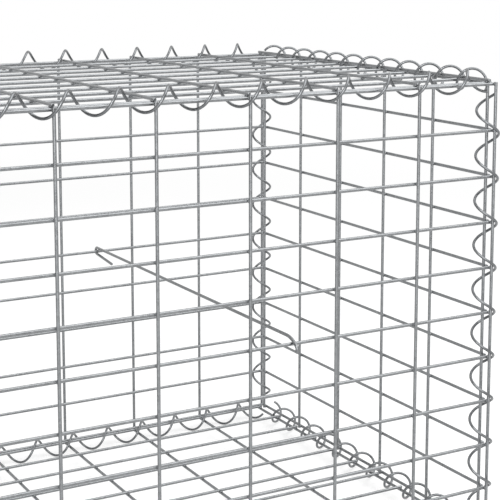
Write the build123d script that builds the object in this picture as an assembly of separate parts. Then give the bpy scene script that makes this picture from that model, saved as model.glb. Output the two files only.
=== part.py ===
"""Gabion wall of two bays: welded wire mesh baskets laced with spirals and braced by hooked ties.

The wall runs along X and stands on the strands of its bottom spirals at Z = 0, with its front
towards -Y. Every wire is a bar of few sides, and the wires of one mesh panel are fused where
they cross. A half turn about any axis through the wall's centre gives the same wall again.
"""
import os
from math import asin, atan2, cos, degrees, pi, radians, sin, sqrt

from build123d import *

# Welded mesh, in millimetres
wire = 3.5
wire_sides = 6
weld_sink = 0.35
wire_stub = 0.5
play = 0.3

# Bays
cell_length = 100.0
cell_height = 50.0
cells_along = 10
cells_up = 10
wall_depth = 500.0
bay_gap = 1.0

# Lid and base panels, end panels and partition
lid_cells = 10
lid_stub = 3.4
end_cells = 5
end_inset = 11.0
end_shift = 1.0

# Lacing spirals: the wire, the coil, and the room left at the ends of each edge
lace = 3.0
coil = 24.5
long_margin = 8.0
end_margin = 25.0
upright_margin = 10.5
long_axis_in = 6.0
long_axis_rise = 4.0
end_axis_out = 0.5
end_axis_rise = 1.7
long_pitch_share = 0.5
end_pitch_share = 0.8
upright_pitch_share = 0.98
end_lead_share = 0.125
corner_lean = 56.0
front_upright_share = 0.45
back_upright_share = 0.28
middle_upright_share = 0.285

# Hooked ties across each bay
tie = 3.5
tie_pair_share = 0.25
tie_cells_up = 5
hook_radius = 5.0
front_hook_turn = 160.0
back_hook_turn = 164.0
back_hook_leg = 42.0

# Derived sizes
bay_length = cell_length * cells_along
wall_height = cell_height * cells_up
layer = wire - weld_sink
wire_corner = wire / 2 / cos(pi / wire_sides)
lace_corner = lace / 2 / cos(pi / wire_sides)
lid_lift = wire_corner + wire / 2 + play - layer
lid_inset = layer + wire / 2 + wire_corner + play
lid_cell = (wall_depth - 2 * lid_inset) / lid_cells
end_cell = (wall_depth - 2 * end_inset) / end_cells
bay_start = wire / 2 + wire_stub + bay_gap / 2
lid_start_in = layer / 2 + wire + wire_stub + play - bay_start
lid_end_in = layer + wire + wire_stub + play - end_shift
bay_end = bay_start + bay_length
front_y = -wall_depth / 2
coil_radius = coil / 2
floor_to_wire = coil_radius + lace / 2 + long_axis_rise
top_z = floor_to_wire + wall_height
centre_z = floor_to_wire + wall_height / 2
touch = wire_corner + lace_corner + play

along_x = Vector(1, 0, 0)
along_y = Vector(0, 1, 0)
along_z = Vector(0, 0, 1)


def wire_bar(start, direction, flat_side, length):
    """One mesh wire, with two of its flats facing along flat_side, where it is welded."""
    plane = Plane(origin=start, x_dir=flat_side.cross(direction), z_dir=direction)
    section = RegularPolygon(wire / 2, wire_sides, major_radius=False)
    return extrude(plane * section, amount=length)


def steps(cell, count):
    """Evenly spaced places for wires, from nought."""
    return [cell * step for step in range(count + 1)]


def mesh_panel(columns, rows, stub_y):
    """A welded panel: wires along X at the rows, in the plane Z = 0, and wires along Y a layer above."""
    end_x = wire / 2 + wire_stub
    end_y = wire / 2 + stub_y
    length_x = columns[-1] - columns[0] + 2 * end_x
    length_y = rows[-1] - rows[0] + 2 * end_y
    bars = []
    for row in rows:
        start = Vector(columns[0] - end_x, row, 0)
        bars.append(wire_bar(start, along_x, along_z, length_x))
    for column in columns:
        start = Vector(column, rows[0] - end_y, layer)
        bars.append(wire_bar(start, along_y, along_z, length_y))
    return bars[0].fuse(*bars[1:])


def spiral(pitch, length):
    """A left-handed spiral wire about Z, which starts on the X axis at Z = 0."""
    path = Helix(pitch, length, coil_radius, lefthand=True)
    plane = Plane(origin=path @ 0, x_dir=-along_x.cross(path % 0), z_dir=path % 0)
    section = RegularPolygon(lace / 2, wire_sides, major_radius=False)
    return sweep(plane * section, path=path, is_frenet=True)


def lay_spiral(shape, pitch, start, direction, zero, angle, at):
    """Lay a spiral along an edge, turned so that its strand passes the angle at a distance along it.

    The angle is in degrees from the direction called zero, by the right-hand rule about the edge.
    """
    plane = Plane(origin=start, x_dir=zero, z_dir=direction)
    return plane.location * Rot(0, 0, angle + 360 * at / pitch) * shape


def stand_off(pitch, direction, zero, angle, crossing):
    """How far along the edge a strand stands from a crossing wire that it bears on."""
    side = direction.cross(zero)
    turn = radians(angle)
    lead = atan2(pitch, 2 * pi * coil_radius)
    round_it = zero * sin(turn) - side * cos(turn)
    strand = direction * sin(lead) + round_it * cos(lead)
    normal = strand.cross(crossing).normalized()
    return touch / abs(normal.dot(direction))


def meet(offset):
    """The angle on the coil at which a wire that passes its axis at this offset crosses the strand."""
    return degrees(asin(offset / coil_radius))


def hooked_tie():
    """A brace wire along Y on the mesh wires at Z = 0: a short hook in front, a long one at the back."""
    reach = wall_depth / 2
    top = wire_corner + tie / 2 + play
    centre = top - hook_radius
    front_turn = radians(front_hook_turn)
    front_mid = front_turn / 2
    back_turn = radians(back_hook_turn)
    back_mid = back_turn / 2

    def on_front(turn):
        return Vector(0, -reach - hook_radius * sin(turn), centre + hook_radius * cos(turn))

    def on_back(turn):
        return Vector(0, reach + hook_radius * sin(turn), centre + hook_radius * cos(turn))

    leg_start = on_back(back_turn)
    leg_way = Vector(0, cos(back_turn), -sin(back_turn))
    path = Wire([
        ThreePointArc(on_front(front_turn), on_front(front_mid), on_front(0)),
        Line(on_front(0), on_back(0)),
        ThreePointArc(on_back(0), on_back(back_mid), leg_start),
        Line(leg_start, leg_start + leg_way * back_hook_leg),
    ])
    plane = Plane(origin=path @ 0, x_dir=along_x, z_dir=path % 0)
    section = RegularPolygon(tie / 2, wire_sides, major_radius=False)
    return sweep(plane * section, path=path)


def half_turn(shape, axis):
    """The shape turned half round about a line through the wall's centre."""
    return shape.rotate(Axis((0, 0, centre_z), axis), 180)


def panels_of_right_bay():
    """The walls, lid and base of the right bay, with their short wires outside.

    The lid lies between the walls, and its cross wires rest on the top wires of the walls.
    """
    columns = steps(cell_length, cells_along)
    lid_columns = [lid_start_in, *columns[1:-1], bay_length - lid_end_in]
    wall = mesh_panel(columns, steps(cell_height, cells_up), wire_stub)
    cover = mesh_panel(lid_columns, steps(lid_cell, lid_cells), lid_stub)
    inner_y = wall_depth / 2 - layer
    lid_y = wall_depth / 2 - lid_inset
    front = Plane((bay_start, -inner_y, floor_to_wire), x_dir=along_x, z_dir=-along_y)
    back = Plane((bay_end, inner_y, floor_to_wire), x_dir=-along_x, z_dir=along_y)
    lid = Plane((bay_start, -lid_y, top_z + lid_lift), x_dir=along_x, z_dir=along_z)
    base = Plane((bay_start, lid_y, floor_to_wire - lid_lift), x_dir=along_x, z_dir=-along_z)
    return {
        "front_panel": front.location * wall,
        "back_panel": back.location * wall,
        "lid_panel": lid.location * cover,
        "base_panel": base.location * cover,
    }


def end_panel_at(shape, x):
    """An end panel whose level wires lie at x, with its upright wires on the side of the wall's middle."""
    plane = Plane((x, wall_depth / 2 - end_inset, floor_to_wire), x_dir=-along_y, z_dir=-along_x)
    return plane.location * shape


def long_spirals():
    """Spirals along the long edges of the right bay, each bearing on the wires that cross its edge."""
    pitch = cell_length * long_pitch_share
    shape = spiral(pitch, bay_length - 2 * long_margin)
    start_x = bay_start + long_margin
    axis_y = wall_depth / 2 - long_axis_in
    axis_top = top_z + long_axis_rise
    axis_bottom = floor_to_wire - long_axis_rise
    upright = meet(long_axis_in)
    level = meet(lid_lift + layer - long_axis_rise)
    edges = {
        "front_top_spiral": (-axis_y, axis_top, 180 - upright, along_z, -1),
        "back_top_spiral": (axis_y, axis_top, 90 - level, along_y, -1),
        "back_bottom_spiral": (axis_y, axis_bottom, 90 + level, along_y, -1),
        "front_bottom_spiral": (-axis_y, axis_bottom, upright, along_z, 1),
    }
    laid = {}
    for name, (y, z, angle, crossing, side) in edges.items():
        at = side * stand_off(pitch, along_x, along_z, angle, crossing) - long_margin
        laid[name] = lay_spiral(shape, pitch, Vector(start_x, y, z), along_x, along_z, angle, at)
    return laid


def end_spiral(axis_x):
    """A spiral along the top edge of an end panel or partition, its strands between the lid's wires."""
    pitch = lid_cell * end_pitch_share
    shape = spiral(pitch, wall_depth - 2 * end_margin)
    start = Vector(axis_x, front_y + end_margin, top_z + end_axis_rise)
    at = lid_inset - end_margin + pitch * end_lead_share
    return lay_spiral(shape, pitch, start, along_y, along_z, 270, at)


def upright_spiral(axis_x, axis_in, share):
    """A spiral up a front edge, its strand a share of a cell above each level wire of the front."""
    pitch = cell_height * upright_pitch_share
    shape = spiral(pitch, wall_height - 2 * upright_margin)
    start = Vector(axis_x, front_y + axis_in, floor_to_wire + upright_margin)
    angle = 180 + meet(axis_in - layer)
    at = cell_height * share - upright_margin
    return lay_spiral(shape, pitch, start, along_z, along_x, angle, at)


def build():
    """All pieces of the wall by name."""
    other_face = {"front": "back", "back": "front", "top": "bottom", "bottom": "top"}
    seat_radius = coil_radius - touch
    corner_x = bay_end - seat_radius * cos(radians(corner_lean))
    corner_in = seat_radius * sin(radians(corner_lean))
    middle_in = sqrt(seat_radius**2 - bay_start**2)
    end_shape = mesh_panel(steps(end_cell, end_cells), steps(cell_height, cells_up), 0)

    right = panels_of_right_bay()
    right["end_panel"] = end_panel_at(end_shape, bay_end + end_shift)
    right.update(long_spirals())
    right["end_top_spiral"] = end_spiral(bay_end + end_axis_out)
    right["end_bottom_spiral"] = half_turn(right["end_top_spiral"], along_x)
    right["front_corner_spiral"] = upright_spiral(corner_x, corner_in, front_upright_share)
    right["back_corner_spiral"] = half_turn(
        upright_spiral(corner_x, corner_in, back_upright_share), along_x
    )

    pieces = {}
    for name, shape in right.items():
        face = name.split("_")[0]
        twin = name.replace(face, other_face[face], 1) if face in ("front", "back") else name
        pieces["right_" + name] = shape
        pieces["left_" + twin] = half_turn(shape, along_z)

    pieces["partition_panel"] = end_panel_at(end_shape, layer / 2)
    pieces["partition_top_spiral"] = end_spiral(0)
    pieces["partition_front_spiral"] = upright_spiral(0, middle_in, middle_upright_share)
    for name in ("top", "front"):
        turned = half_turn(pieces[f"partition_{name}_spiral"], along_x)
        pieces[f"partition_{other_face[name]}_spiral"] = turned

    tie_shape = hooked_tie()
    tie_z = floor_to_wire + cell_height * tie_cells_up
    inner_x = bay_start + bay_length * tie_pair_share
    outer_x = bay_end - bay_length * tie_pair_share
    tie_places = {
        "left_outer_tie": -outer_x,
        "left_inner_tie": -inner_x,
        "right_inner_tie": inner_x,
        "right_outer_tie": outer_x,
    }
    for name, x in tie_places.items():
        pieces[name] = Pos(x, 0, tie_z) * tie_shape
    return pieces


os.makedirs("parts", exist_ok=True)
for node, piece in build().items():
    export_step(piece, f"parts/{node}.step")
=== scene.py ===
"""Gabion wall of two bays in round galvanised wire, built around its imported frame.

Every mesh panel becomes round wires with a weld bead at each crossing, every lacing spiral a
wound strand, and every tie a bent and hooked wire. Sizes are in metres.
"""

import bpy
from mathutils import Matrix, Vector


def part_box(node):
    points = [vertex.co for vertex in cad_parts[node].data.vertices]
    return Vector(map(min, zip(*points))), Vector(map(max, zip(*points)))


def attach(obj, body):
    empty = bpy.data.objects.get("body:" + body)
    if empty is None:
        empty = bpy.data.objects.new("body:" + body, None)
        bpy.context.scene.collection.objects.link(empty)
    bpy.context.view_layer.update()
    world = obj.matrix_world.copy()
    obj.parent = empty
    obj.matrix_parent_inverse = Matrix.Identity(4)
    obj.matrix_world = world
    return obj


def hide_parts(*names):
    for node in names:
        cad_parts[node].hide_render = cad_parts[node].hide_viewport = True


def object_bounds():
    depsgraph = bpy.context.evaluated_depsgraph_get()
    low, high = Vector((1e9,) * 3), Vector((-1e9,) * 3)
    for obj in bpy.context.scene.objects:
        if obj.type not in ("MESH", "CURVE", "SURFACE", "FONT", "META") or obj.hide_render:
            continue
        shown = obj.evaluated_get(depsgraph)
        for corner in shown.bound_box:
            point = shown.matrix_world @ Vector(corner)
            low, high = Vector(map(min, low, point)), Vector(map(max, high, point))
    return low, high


bl_info = {
    "name": "Gabion Wall",
    "version": (1, 0, 0),
    "blender": (4, 5, 0),
    "location": "View3D > Sidebar > Gabion",
    "description": "Builds the wires, welds, lacing and ties of a gabion wall around its frame",
    "category": "Add Mesh",
}

from math import atan2, cos, pi, radians, sin, tau

import bmesh
import bpy
from bpy.props import FloatProperty, FloatVectorProperty, IntProperty, PointerProperty
from mathutils import Matrix, Vector

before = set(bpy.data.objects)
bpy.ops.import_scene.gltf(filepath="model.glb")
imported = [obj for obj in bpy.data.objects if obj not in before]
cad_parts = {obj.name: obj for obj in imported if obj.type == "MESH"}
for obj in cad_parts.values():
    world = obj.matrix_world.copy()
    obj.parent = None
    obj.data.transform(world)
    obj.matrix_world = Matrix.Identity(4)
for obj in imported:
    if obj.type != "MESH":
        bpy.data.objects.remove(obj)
CAD_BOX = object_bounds()

AXES = (Vector((1, 0, 0)), Vector((0, 1, 0)), Vector((0, 0, 1)))

# Sides of the frame's bars, which stand for round wire
BAR_SIDES = 6

# Weld beads and cut ends: sides round a bead, rings over it, and steps round a cut edge
WELD_SIDES = 8
WELD_RINGS = 4
CUT_STEPS = 2

# Turns of a spiral join where their rings lie within this share of the wire's radius
JOIN_SHARE = 0.01

# Zinc coat: its patterns to the metre, the clouds' share in the pattern, and its shades, gloss and skin
CRYSTALS_PER_METRE = 320
CLOUDS_PER_METRE = 38
SKIN_PER_METRE = 900
CLOUD_SHARE = 0.55
SHADES = (0.86, 1.14)
SHADE_SPAN = (0.22, 0.78)
ROUGHNESS = (0.26, 0.36)
ROUGHNESS_SPAN = (0.25, 0.75)
SKIN_STRENGTH = 0.25
SKIN_HEIGHT = 0.0002

# Lamps: where each hangs, and how wide it is
OVERHEAD = (Vector((1.7, -0.6, 2.7)), 3.2)
FRONT_FILL = (Vector((-1.0, -3.3, 1.25)), 2.4)
SIDE = (Vector((-1.2, -1.75, 2.35)), 1.0)

# Floor: its sides, its own glow, and the distances between which it fades to white
FLOOR_SIDES = 64
FLOOR_GLOW = 0.62
FLOOR_FADE = (1.6, 3.4)

# A panel's run axis, its rise axis, its cells along each, and how far its rise wires pass the last wire
WALL = (0, 2, 10, 10, 0.0005)
COVER = (0, 1, 10, 10, 0.0034)
CLOSER = (1, 2, 5, 10, 0.0)

# Panel, its layout, and the side on which its rise wires lie
PANELS = (
    ("right_front_panel", WALL, -1),
    ("left_front_panel", WALL, -1),
    ("right_back_panel", WALL, 1),
    ("left_back_panel", WALL, 1),
    ("right_lid_panel", COVER, 1),
    ("left_lid_panel", COVER, 1),
    ("right_base_panel", COVER, -1),
    ("left_base_panel", COVER, -1),
    ("right_end_panel", CLOSER, -1),
    ("left_end_panel", CLOSER, 1),
    ("partition_panel", CLOSER, -1),
)

# Spirals by the axis that they run along
LONG_SPIRALS = tuple(
    f"{bay}_{face}_{edge}_spiral"
    for bay in ("right", "left")
    for face in ("front", "back")
    for edge in ("top", "bottom")
)
END_SPIRALS = tuple(
    f"{place}_{edge}_spiral"
    for place in ("right_end", "left_end", "partition")
    for edge in ("top", "bottom")
)
UPRIGHT_SPIRALS = (
    "right_front_corner_spiral",
    "right_back_corner_spiral",
    "left_front_corner_spiral",
    "left_back_corner_spiral",
    "partition_front_spiral",
    "partition_back_spiral",
)
TIES = ("left_outer_tie", "left_inner_tie", "right_inner_tie", "right_outer_tie")


class MeshWireSettings(bpy.types.PropertyGroup):
    """Sizes of the welded mesh."""

    diameter: FloatProperty(
        name="Mesh Wire", description="Diameter of the mesh wire", default=0.0035, unit="LENGTH"
    )
    stub: FloatProperty(
        name="Stub", description="How far a wire ends past the last one", default=0.0005, unit="LENGTH"
    )
    sides: IntProperty(
        name="Sides", description="Sides of the round mesh wire", default=16, min=8
    )
    cut_edge: FloatProperty(
        name="Cut Edge", description="Rounding of a wire's cut ends", default=0.0005, unit="LENGTH"
    )
    weld_width: FloatProperty(
        name="Weld Width", description="Width of the bead at a crossing", default=0.0048, unit="LENGTH"
    )
    weld_height: FloatProperty(
        name="Weld Height", description="Height of the bead at a crossing", default=0.0027, unit="LENGTH"
    )


class LacingSettings(bpy.types.PropertyGroup):
    """Sizes of the lacing spirals."""

    diameter: FloatProperty(
        name="Lacing Wire", description="Diameter of the spiral's wire", default=0.003, unit="LENGTH"
    )
    long_pitch: FloatProperty(
        name="Long Pitch", description="Pitch of the spirals along the wall", default=0.05, unit="LENGTH"
    )
    end_pitch: FloatProperty(
        name="End Pitch",
        description="Pitch of the spirals across the wall",
        default=0.0388447,
        unit="LENGTH",
    )
    upright_pitch: FloatProperty(
        name="Upright Pitch", description="Pitch of the upright spirals", default=0.049, unit="LENGTH"
    )
    sides: IntProperty(
        name="Sides", description="Sides of the round lacing wire", default=12, min=8
    )
    steps: IntProperty(
        name="Steps", description="Steps in one turn of a spiral", default=32, min=12
    )
    cut_edge: FloatProperty(
        name="Cut Edge", description="Rounding of a spiral's cut ends", default=0.0004, unit="LENGTH"
    )


class TieSettings(bpy.types.PropertyGroup):
    """Sizes of the hooked ties."""

    diameter: FloatProperty(
        name="Tie Wire", description="Diameter of the tie's wire", default=0.0035, unit="LENGTH"
    )
    hook_radius: FloatProperty(
        name="Hook Radius",
        description="Radius of the back hook at the wire's middle",
        default=0.0042,
        unit="LENGTH",
    )
    bow_start: FloatProperty(
        name="Bow Start",
        description="How far behind the front the bow starts",
        default=0.0156,
        unit="LENGTH",
    )
    bow_lift: FloatProperty(
        name="Bow Lift", description="How much higher the tie is at its bow", default=0.0023, unit="LENGTH"
    )
    bow_radius: FloatProperty(
        name="Bow Radius", description="Radius of the bow over the front wire", default=0.03, unit="LENGTH"
    )
    bow_turn: FloatProperty(
        name="Bow Turn",
        description="Angle of the bow over the front wire",
        default=radians(40),
        subtype="ANGLE",
    )
    tip_radius: FloatProperty(
        name="Tip Radius", description="Radius of the turned tip in front", default=0.004, unit="LENGTH"
    )
    tip_turn: FloatProperty(
        name="Tip Turn",
        description="Angle of the turned tip in front",
        default=radians(100),
        subtype="ANGLE",
    )
    back_turn: FloatProperty(
        name="Back Turn", description="Angle of the back hook", default=radians(175), subtype="ANGLE"
    )
    back_leg: FloatProperty(
        name="Back Leg", description="Straight leg after the back hook", default=0.048, unit="LENGTH"
    )
    sides: IntProperty(name="Sides", description="Sides of the round tie wire", default=16, min=8)
    steps: IntProperty(name="Steps", description="Steps in one hook", default=14, min=6)
    cut_edge: FloatProperty(
        name="Cut Edge", description="Rounding of a tie's cut ends", default=0.0005, unit="LENGTH"
    )


class ZincSettings(bpy.types.PropertyGroup):
    """Colours of the zinc coat."""

    mesh_colour: FloatVectorProperty(
        name="Mesh Zinc",
        description="Coat of the mesh wires",
        default=(0.235, 0.243, 0.25),
        subtype="COLOR",
    )
    weld_colour: FloatVectorProperty(
        name="Weld Zinc",
        description="Duller coat on the welds",
        default=(0.21, 0.217, 0.224),
        subtype="COLOR",
    )
    lacing_colour: FloatVectorProperty(
        name="Lacing Zinc",
        description="Coat of the spirals",
        default=(0.17, 0.176, 0.182),
        subtype="COLOR",
    )
    tie_colour: FloatVectorProperty(
        name="Tie Zinc",
        description="Coat of the ties",
        default=(0.215, 0.222, 0.228),
        subtype="COLOR",
    )
    metal: FloatProperty(
        name="Metal", description="How metallic the coat is", default=1.0, subtype="FACTOR", min=0, max=1
    )


class StageSettings(bpy.types.PropertyGroup):
    """Floor, light and camera."""

    camera_place: FloatVectorProperty(
        name="Camera",
        description="Where the camera stands",
        default=(0.0669, -1.3789, 0.6533),
        subtype="XYZ",
    )
    camera_yaw: FloatProperty(
        name="Yaw", description="Turn of the camera to the right", default=radians(29.367), subtype="ANGLE"
    )
    camera_pitch: FloatProperty(
        name="Pitch", description="Tilt of the camera downwards", default=radians(7.722), subtype="ANGLE"
    )
    lens: FloatProperty(name="Lens", description="Focal length in millimetres", default=97.9)
    rise: FloatProperty(name="Shift", description="Upright shift of the picture", default=-0.22)
    floor_radius: FloatProperty(
        name="Floor", description="Radius of the floor", default=9.0, unit="LENGTH"
    )
    floor_colour: FloatVectorProperty(
        name="Floor Colour", description="Colour of the floor", default=(0.5, 0.5, 0.5), subtype="COLOR"
    )
    key_power: FloatProperty(
        name="Key Light", description="Power of the light overhead", default=72, unit="POWER"
    )
    fill_power: FloatProperty(
        name="Fill Light", description="Power of the light in front", default=62, unit="POWER"
    )
    side_power: FloatProperty(
        name="Side Light",
        description="Power of the light that brings out the spirals",
        default=34,
        unit="POWER",
    )
    sky: FloatProperty(name="Sky", description="Strength of the light all round", default=0.35)


class GabionSettings(bpy.types.PropertyGroup):
    """All settings of the wall."""

    mesh_wire: PointerProperty(type=MeshWireSettings)
    lacing: PointerProperty(type=LacingSettings)
    tie: PointerProperty(type=TieSettings)
    zinc: PointerProperty(type=ZincSettings)
    stage: PointerProperty(type=StageSettings)


def ring_edges(verts):
    """The edges between the vertices of a ring."""
    ring = set(verts)
    return list({edge for vert in verts for edge in vert.link_edges if ring.issuperset(edge.verts)})


def start_ring(bm, place, way, radius, sides):
    """A round section at a place, square to the way that the wire leaves it."""
    turn = way.to_track_quat("Z", "Y").to_matrix().to_4x4()
    matrix = Matrix.Translation(place) @ turn
    made = bmesh.ops.create_circle(bm, cap_ends=False, segments=sides, radius=radius, matrix=matrix)
    return made["verts"]


def bend(bm, ring, centre, axis, angle, steps, lead=0.0):
    """Draw a wire round an axis, moved along it by lead in all, and give its new last ring."""
    made = bmesh.ops.spin(
        bm,
        geom=list(ring) + ring_edges(ring),
        cent=centre,
        axis=axis,
        dvec=axis * (lead / steps),
        angle=angle,
        steps=steps,
        use_duplicate=False,
    )
    return [item for item in made["geom_last"] if isinstance(item, bmesh.types.BMVert)]


def draw_out(bm, ring, way):
    """Draw a wire straight out from a ring, and give its new last ring."""
    made = bmesh.ops.extrude_edge_only(bm, edges=ring_edges(ring))
    drawn = [item for item in made["geom"] if isinstance(item, bmesh.types.BMVert)]
    bmesh.ops.translate(bm, verts=drawn, vec=way)
    return drawn


def cut_ends(bm, width):
    """Close the open ends of drawn wires and round the edges that the cutter left."""
    open_edges = [edge for edge in bm.edges if edge.is_boundary]
    bmesh.ops.holes_fill(bm, edges=open_edges, sides=0)
    round_edges(bm, open_edges, width)


def round_edges(bm, edges, width):
    """Round the edges of cut ends and keep the wire's own sides smooth up to them."""
    made = bmesh.ops.bevel(
        bm,
        geom=edges,
        offset=width,
        offset_type="OFFSET",
        segments=CUT_STEPS,
        profile=0.5,
        affect="EDGES",
        clamp_overlap=True,
        material=-1,
    )
    rounded = set(made["faces"])
    for face in rounded:
        for edge in face.edges:
            edge.smooth = rounded.issuperset(edge.link_faces)


def add_wire(bm, start, end, radius, sides, cut_edge):
    """One straight round wire with the edges of its cut ends rounded."""
    way = end - start
    turn = way.to_track_quat("Z", "Y").to_matrix().to_4x4()
    made = bmesh.ops.create_cone(
        bm,
        cap_ends=True,
        cap_tris=False,
        segments=sides,
        radius1=radius,
        radius2=radius,
        depth=way.length,
        matrix=Matrix.Translation((start + end) / 2) @ turn,
    )
    faces = {face for vert in made["verts"] for face in vert.link_faces}
    caps = [face for face in faces if len(face.verts) == sides]
    round_edges(bm, [edge for cap in caps for edge in cap.edges], cut_edge)


def add_weld(bm, centre, depth_axis, width, height):
    """A flattened bead of weld metal between two wires that cross."""
    size = [width / 2] * 3
    size[depth_axis] = height / 2
    bmesh.ops.create_uvsphere(
        bm,
        u_segments=WELD_SIDES,
        v_segments=WELD_RINGS,
        radius=1,
        matrix=Matrix.Translation(centre) @ Matrix.Diagonal((*size, 1)),
    )


def everything(bm):
    """All vertices, edges and faces of a mesh in the making."""
    return [*bm.verts, *bm.edges, *bm.faces]


def repeat(bm, shape, shifts):
    """Copy a shape to each of the shifts."""
    for shift in shifts:
        made = bmesh.ops.duplicate(bm, geom=shape)
        copied = [item for item in made["geom"] if isinstance(item, bmesh.types.BMVert)]
        bmesh.ops.translate(bm, verts=copied, vec=shift)


def finish_piece(bm, name, node, materials):
    """Make a piece of the mesh that stands for its node and rides on the wall."""
    bmesh.ops.recalc_face_normals(bm, faces=bm.faces)
    for face in bm.faces:
        face.smooth = True
    mesh = bpy.data.meshes.new(name)
    bm.to_mesh(mesh)
    bm.free()
    for material in materials:
        mesh.materials.append(material)
    piece = bpy.data.objects.new(name, mesh)
    bpy.context.scene.collection.objects.link(piece)
    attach(piece, "root")
    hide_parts(node)
    return piece


def zinc_coat(name, colour, metal, grain):
    """A galvanised coat: crystals in shades of grey, dull patches and a fine uneven skin."""
    material = bpy.data.materials.new(name)
    material.use_nodes = True
    nodes = material.node_tree.nodes
    links = material.node_tree.links
    shader = nodes["Principled BSDF"]
    shader.inputs["Metallic"].default_value = metal
    place = nodes.new("ShaderNodeTexCoord")

    crystals = nodes.new("ShaderNodeTexVoronoi")
    crystals.inputs["Scale"].default_value = CRYSTALS_PER_METRE * grain
    links.new(place.outputs["Object"], crystals.inputs["Vector"])
    shade = nodes.new("ShaderNodeSeparateColor")
    links.new(crystals.outputs["Color"], shade.inputs["Color"])

    clouds = nodes.new("ShaderNodeTexNoise")
    clouds.inputs["Scale"].default_value = CLOUDS_PER_METRE
    clouds.inputs["Detail"].default_value = 4
    links.new(place.outputs["Object"], clouds.inputs["Vector"])

    blend = nodes.new("ShaderNodeMix")
    blend.inputs["Factor"].default_value = CLOUD_SHARE
    links.new(shade.outputs["Red"], blend.inputs["A"])
    links.new(clouds.outputs["Fac"], blend.inputs["B"])

    tone = nodes.new("ShaderNodeValToRGB")
    for element, position, shade_share in zip(tone.color_ramp.elements, SHADE_SPAN, SHADES):
        element.position = position
        element.color = (*[min(value * shade_share, 1) for value in colour], 1)
    links.new(blend.outputs["Result"], tone.inputs["Fac"])
    links.new(tone.outputs["Color"], shader.inputs["Base Color"])

    gloss = nodes.new("ShaderNodeMapRange")
    gloss.inputs["From Min"].default_value = ROUGHNESS_SPAN[0]
    gloss.inputs["From Max"].default_value = ROUGHNESS_SPAN[1]
    gloss.inputs["To Min"].default_value = ROUGHNESS[0]
    gloss.inputs["To Max"].default_value = ROUGHNESS[1]
    links.new(blend.outputs["Result"], gloss.inputs["Value"])
    links.new(gloss.outputs["Result"], shader.inputs["Roughness"])

    skin = nodes.new("ShaderNodeTexNoise")
    skin.inputs["Scale"].default_value = SKIN_PER_METRE * grain
    skin.inputs["Detail"].default_value = 3
    links.new(place.outputs["Object"], skin.inputs["Vector"])
    bump = nodes.new("ShaderNodeBump")
    bump.inputs["Strength"].default_value = SKIN_STRENGTH
    bump.inputs["Distance"].default_value = SKIN_HEIGHT
    links.new(skin.outputs["Fac"], bump.inputs["Height"])
    links.new(bump.outputs["Normal"], shader.inputs["Normal"])
    return material


def even(first, last, cells):
    """Evenly spaced places from the first to the last."""
    return [first + (last - first) * step / cells for step in range(cells + 1)]


def panel_places(node, layout, radius, stub):
    """Where a panel's rise wires and run wires lie, along its run and up its rise."""
    run, rise, run_cells, rise_cells, rise_stub = layout
    low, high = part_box(node)
    run_end = radius + stub
    rise_end = radius + rise_stub
    columns = even(low[run] + run_end, high[run] - run_end, run_cells)
    rows = even(low[rise] + rise_end, high[rise] - rise_end, rise_cells)
    if layout is COVER:
        bay = node.split("_")[0]
        wall_columns, _ = panel_places(f"{bay}_front_panel", WALL, radius, stub)
        columns[1:-1] = wall_columns[1:-1]
    return columns, rows


def weave_panel(bm, node, layout, side, sizes):
    """Lay a panel's run wires, then its rise wires with a weld bead at each crossing."""
    run, rise = layout[:2]
    depth = 3 - run - rise
    radius = sizes.diameter / 2
    low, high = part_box(node)
    outer = high[depth] - radius if side > 0 else low[depth] + radius
    inner = low[depth] + radius if side > 0 else high[depth] - radius
    columns, rows = panel_places(node, layout, radius, sizes.stub)

    def at(along, up, deep):
        place = Vector()
        place[run] = along
        place[rise] = up
        place[depth] = deep
        return place

    across = [AXES[run] * (column - columns[0]) for column in columns[1:]]
    upwards = [AXES[rise] * (row - rows[0]) for row in rows[1:]]
    run_wire = (at(low[run], rows[0], inner), at(high[run], rows[0], inner))
    add_wire(bm, *run_wire, radius, sizes.sides, sizes.cut_edge)
    repeat(bm, everything(bm), upwards)
    laid = set(everything(bm))
    rise_wire = (at(columns[0], low[rise], outer), at(columns[0], high[rise], outer))
    add_wire(bm, *rise_wire, radius, sizes.sides, sizes.cut_edge)
    wires = set(everything(bm))
    add_weld(bm, at(columns[0], rows[0], (inner + outer) / 2), depth, sizes.weld_width, sizes.weld_height)
    bead = [item for item in everything(bm) if item not in wires]
    for item in bead:
        if isinstance(item, bmesh.types.BMFace):
            item.material_index = 1
    repeat(bm, bead, upwards)
    repeat(bm, [item for item in everything(bm) if item not in laid], across)


def strand_angle(node, axis, centre, start, pitch):
    """The angle at which a left-handed strand starts, as the mean over the node's vertices."""
    first, second = AXES[(axis + 1) % 3], AXES[(axis + 2) % 3]
    across = Vector((0, 0))
    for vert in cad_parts[node].data.vertices:
        arm = vert.co - centre
        turn = atan2(arm.dot(second), arm.dot(first)) + tau * (vert.co[axis] - start) / pitch
        across += Vector((cos(turn), sin(turn)))
    return atan2(across.y, across.x)


class GABION_OT_mesh_panels(bpy.types.Operator):
    """Build the welded mesh panels"""

    bl_idname = "gabion.mesh_panels"
    bl_label = "Mesh Panels"

    def execute(self, context):
        settings = context.scene.gabion
        sizes = settings.mesh_wire
        zinc = settings.zinc
        coat = zinc_coat("mesh_zinc", zinc.mesh_colour, zinc.metal, 1.0)
        weld_coat = zinc_coat("weld_zinc", zinc.weld_colour, zinc.metal, 1.6)
        for node, layout, side in PANELS:
            bm = bmesh.new()
            weave_panel(bm, node, layout, side, sizes)
            name = node.replace("_panel", "_mesh")
            finish_piece(bm, name, node, (coat, weld_coat))
        return {"FINISHED"}


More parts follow.
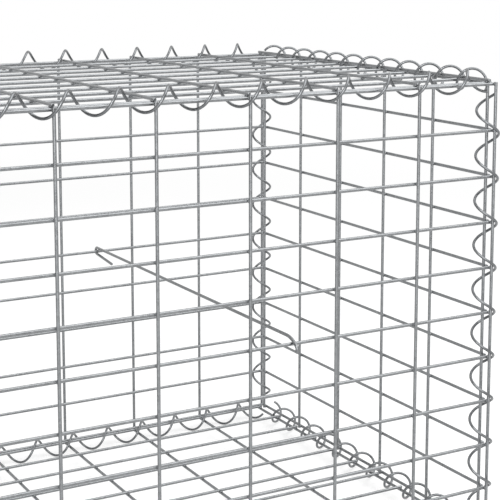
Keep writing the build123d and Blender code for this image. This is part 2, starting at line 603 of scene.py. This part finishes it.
class GABION_OT_lacing_spirals(bpy.types.Operator):
    """Build the spirals that lace the panels together"""

    bl_idname = "gabion.lacing_spirals"
    bl_label = "Lacing Spirals"

    def execute(self, context):
        settings = context.scene.gabion
        sizes = settings.lacing
        zinc = settings.zinc
        coat = zinc_coat("lacing_zinc", zinc.lacing_colour, zinc.metal, 1.2)
        groups = (
            (0, LONG_SPIRALS, sizes.long_pitch),
            (1, END_SPIRALS, sizes.end_pitch),
            (2, UPRIGHT_SPIRALS, sizes.upright_pitch),
        )
        for axis, nodes, pitch in groups:
            for node in nodes:
                self.wind(node, axis, pitch, sizes, coat)
        return {"FINISHED"}

    def wind(self, node, axis, pitch, sizes, coat):
        """Wind one left-handed strand where its node has it."""
        radius = sizes.diameter / 2
        low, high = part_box(node)
        way, first, second = AXES[axis], AXES[(axis + 1) % 3], AXES[(axis + 2) % 3]
        middle = (low + high) / 2
        coil = (high - low)[(axis + 1) % 3] / 2 - radius / cos(pi / BAR_SIDES)
        lead = atan2(pitch, tau * coil)
        start = low[axis] + radius * cos(lead)
        length = high[axis] - low[axis] - 2 * radius * cos(lead)
        angle = strand_angle(node, axis, middle, start, pitch)
        origin = middle.copy()
        origin[axis] = start
        arm = first * cos(angle) + second * sin(angle)
        round_it = first * sin(angle) - second * cos(angle)
        heading = round_it * cos(lead) + way * sin(lead)
        turns = int(length / pitch)
        rest = length / pitch - turns

        bm = bmesh.new()
        ring = start_ring(bm, origin + arm * coil, heading, radius, sizes.sides)
        bend(bm, ring, origin, way, -tau, sizes.steps, lead=pitch)
        repeat(bm, everything(bm), [way * pitch * turn for turn in range(1, turns)])
        bmesh.ops.remove_doubles(bm, verts=bm.verts, dist=radius * JOIN_SHARE)
        last = [vert for vert in bm.verts if vert.is_boundary and vert.co[axis] > middle[axis]]
        bend(bm, last, origin, way, -tau * rest, round(sizes.steps * rest), lead=pitch * rest)
        cut_ends(bm, sizes.cut_edge)
        name = node.replace("_spiral", "_lacing")
        finish_piece(bm, name, node, (coat,))


class GABION_OT_hooked_ties(bpy.types.Operator):
    """Build the hooked ties that brace the front to the back"""

    bl_idname = "gabion.hooked_ties"
    bl_label = "Hooked Ties"

    def execute(self, context):
        settings = context.scene.gabion
        sizes = settings.tie
        zinc = settings.zinc
        coat = zinc_coat("tie_zinc", zinc.tie_colour, zinc.metal, 1.0)
        radius = sizes.diameter / 2
        along_x, along_y, along_z = AXES
        for node in TIES:
            low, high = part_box(node)
            middle_x = (low.x + high.x) / 2
            reach = sizes.hook_radius + radius
            top = Vector((middle_x, low.y + reach, high.z - radius))
            span = high.y - low.y - 2 * reach
            drop = along_z * sizes.hook_radius

            bm = bmesh.new()
            bow_start = top + along_y * sizes.bow_start + along_z * sizes.bow_lift
            bow_centre = bow_start - along_z * sizes.bow_radius
            bow_arm = along_z * cos(sizes.bow_turn) - along_y * sin(sizes.bow_turn)
            tip_centre = bow_centre + bow_arm * (sizes.bow_radius - sizes.tip_radius)
            ring = start_ring(bm, bow_start, along_y, radius, sizes.sides)
            bow_end = bend(bm, ring, bow_centre, along_x, sizes.bow_turn, sizes.steps)
            bend(bm, bow_end, tip_centre, along_x, sizes.tip_turn, sizes.steps)
            back_top = top + along_y * span
            far = draw_out(bm, ring, back_top - bow_start)
            back_centre = back_top - drop
            tip = bend(bm, far, back_centre, along_x, -sizes.back_turn, sizes.steps)
            leg = along_y * cos(sizes.back_turn) - along_z * sin(sizes.back_turn)
            draw_out(bm, tip, leg * sizes.back_leg)
            cut_ends(bm, sizes.cut_edge)
            name = node.replace("_tie", "_brace")
            finish_piece(bm, name, node, (coat,))
        return {"FINISHED"}


class GABION_OT_stage(bpy.types.Operator):
    """Build the floor, the light and the camera"""

    bl_idname = "gabion.stage"
    bl_label = "Stage"

    def execute(self, context):
        settings = context.scene.gabion.stage
        scene = context.scene
        scene.view_settings.view_transform = "Standard"
        self.lay_floor(scene, settings)
        self.light_sky(scene, settings)
        self.hang_light(scene, "overhead", *OVERHEAD, settings.key_power)
        self.hang_light(scene, "front_fill", *FRONT_FILL, settings.fill_power)
        self.hang_light(scene, "side", *SIDE, settings.side_power)
        self.stand_camera(scene, settings)
        return {"FINISHED"}

    def lay_floor(self, scene, settings):
        """A round white floor that keeps the wall's shadow and fades to the white around it."""
        bm = bmesh.new()
        bmesh.ops.create_circle(bm, cap_ends=True, segments=FLOOR_SIDES, radius=settings.floor_radius)
        mesh = bpy.data.meshes.new("floor")
        bm.to_mesh(mesh)
        bm.free()
        floor = bpy.data.objects.new("floor", mesh)
        scene.collection.objects.link(floor)

        material = bpy.data.materials.new("white_floor")
        material.use_nodes = True
        nodes = material.node_tree.nodes
        links = material.node_tree.links
        nodes.remove(nodes["Principled BSDF"])
        matt = nodes.new("ShaderNodeBsdfDiffuse")
        matt.inputs["Color"].default_value = (*settings.floor_colour, 1)
        glow = nodes.new("ShaderNodeEmission")
        glow.inputs["Strength"].default_value = FLOOR_GLOW
        shadowed = nodes.new("ShaderNodeAddShader")
        links.new(matt.outputs["BSDF"], shadowed.inputs[0])
        links.new(glow.outputs["Emission"], shadowed.inputs[1])
        white = nodes.new("ShaderNodeEmission")
        place = nodes.new("ShaderNodeTexCoord")
        distance = nodes.new("ShaderNodeVectorMath")
        distance.operation = "LENGTH"
        links.new(place.outputs["Object"], distance.inputs[0])
        fade = nodes.new("ShaderNodeMapRange")
        fade.interpolation_type = "SMOOTHSTEP"
        fade.inputs["From Min"].default_value = FLOOR_FADE[0]
        fade.inputs["From Max"].default_value = FLOOR_FADE[1]
        links.new(distance.outputs["Value"], fade.inputs["Value"])
        seen = nodes.new("ShaderNodeMixShader")
        links.new(fade.outputs["Result"], seen.inputs["Fac"])
        links.new(shadowed.outputs["Shader"], seen.inputs[1])
        links.new(white.outputs["Emission"], seen.inputs[2])
        choice = nodes.new("ShaderNodeMixShader")
        links.new(background_rays(nodes, links), choice.inputs["Fac"])
        links.new(matt.outputs["BSDF"], choice.inputs[1])
        links.new(seen.outputs["Shader"], choice.inputs[2])
        links.new(choice.outputs["Shader"], nodes["Material Output"].inputs["Surface"])
        mesh.materials.append(material)

    def light_sky(self, scene, settings):
        """White where it is seen, straight or in the metal, and a soft grey light elsewhere."""
        world = bpy.data.worlds.new("studio")
        world.use_nodes = True
        nodes = world.node_tree.nodes
        links = world.node_tree.links
        sky = nodes["Background"]
        sky.inputs["Color"].default_value = (1, 1, 1, 1)
        sky.inputs["Strength"].default_value = settings.sky
        white = nodes.new("ShaderNodeBackground")
        white.inputs["Color"].default_value = (1, 1, 1, 1)
        white.inputs["Strength"].default_value = 1
        choice = nodes.new("ShaderNodeMixShader")
        links.new(background_rays(nodes, links), choice.inputs["Fac"])
        links.new(sky.outputs["Background"], choice.inputs[1])
        links.new(white.outputs["Background"], choice.inputs[2])
        links.new(choice.outputs["Shader"], nodes["World Output"].inputs["Surface"])
        scene.world = world

    def hang_light(self, scene, name, place, size, power):
        """A square soft light that faces the middle of the wall."""
        low, high = CAD_BOX
        target = (low + high) / 2
        data = bpy.data.lights.new(name, "AREA")
        data.size = size
        data.energy = power
        light = bpy.data.objects.new(name, data)
        light.location = place
        light.rotation_euler = (target - place).to_track_quat("-Z", "Y").to_euler()
        scene.collection.objects.link(light)

    def stand_camera(self, scene, settings):
        """The camera at the photograph's viewing angle."""
        data = bpy.data.cameras.new("camera")
        data.lens = settings.lens
        data.shift_y = settings.rise
        camera = bpy.data.objects.new("camera", data)
        camera.location = settings.camera_place
        camera.rotation_euler = (pi / 2 - settings.camera_pitch, 0, -settings.camera_yaw)
        scene.collection.objects.link(camera)
        scene.camera = camera


def background_rays(nodes, links):
    """One for rays that see the background straight, in metal or through glass, else nought."""
    path = nodes.new("ShaderNodeLightPath")
    last = path.outputs["Is Camera Ray"]
    for name in ("Is Glossy Ray", "Is Transmission Ray"):
        either = nodes.new("ShaderNodeMath")
        either.operation = "MAXIMUM"
        links.new(last, either.inputs[0])
        links.new(path.outputs[name], either.inputs[1])
        last = either.outputs["Value"]
    return last


class GABION_PT_wall(bpy.types.Panel):
    """Settings and steps of the gabion wall"""

    bl_idname = "GABION_PT_wall"
    bl_label = "Gabion Wall"
    bl_space_type = "VIEW_3D"
    bl_region_type = "UI"
    bl_category = "Gabion"

    def draw(self, context):
        settings = context.scene.gabion
        layout = self.layout
        for group in (settings.mesh_wire, settings.lacing, settings.tie, settings.zinc, settings.stage):
            box = layout.box()
            for name in group.__annotations__:
                box.prop(group, name)
        for operator in OPERATORS:
            layout.operator(operator.bl_idname)


OPERATORS = (
    GABION_OT_mesh_panels,
    GABION_OT_lacing_spirals,
    GABION_OT_hooked_ties,
    GABION_OT_stage,
)
CLASSES = (
    MeshWireSettings,
    LacingSettings,
    TieSettings,
    ZincSettings,
    StageSettings,
    GabionSettings,
    *OPERATORS,
    GABION_PT_wall,
)


def register():
    """Register the classes and hang the settings on the scene."""
    for cls in CLASSES:
        bpy.utils.register_class(cls)
    bpy.types.Scene.gabion = PointerProperty(type=GabionSettings)


def unregister():
    """Take the settings off the scene and unregister the classes."""
    del bpy.types.Scene.gabion
    for cls in reversed(CLASSES):
        bpy.utils.unregister_class(cls)


def main():
    """Build the wall and its stage."""
    register()
    bpy.ops.gabion.mesh_panels()
    bpy.ops.gabion.lacing_spirals()
    bpy.ops.gabion.hooked_ties()
    bpy.ops.gabion.stage()


if __name__ == "__main__":
    main()
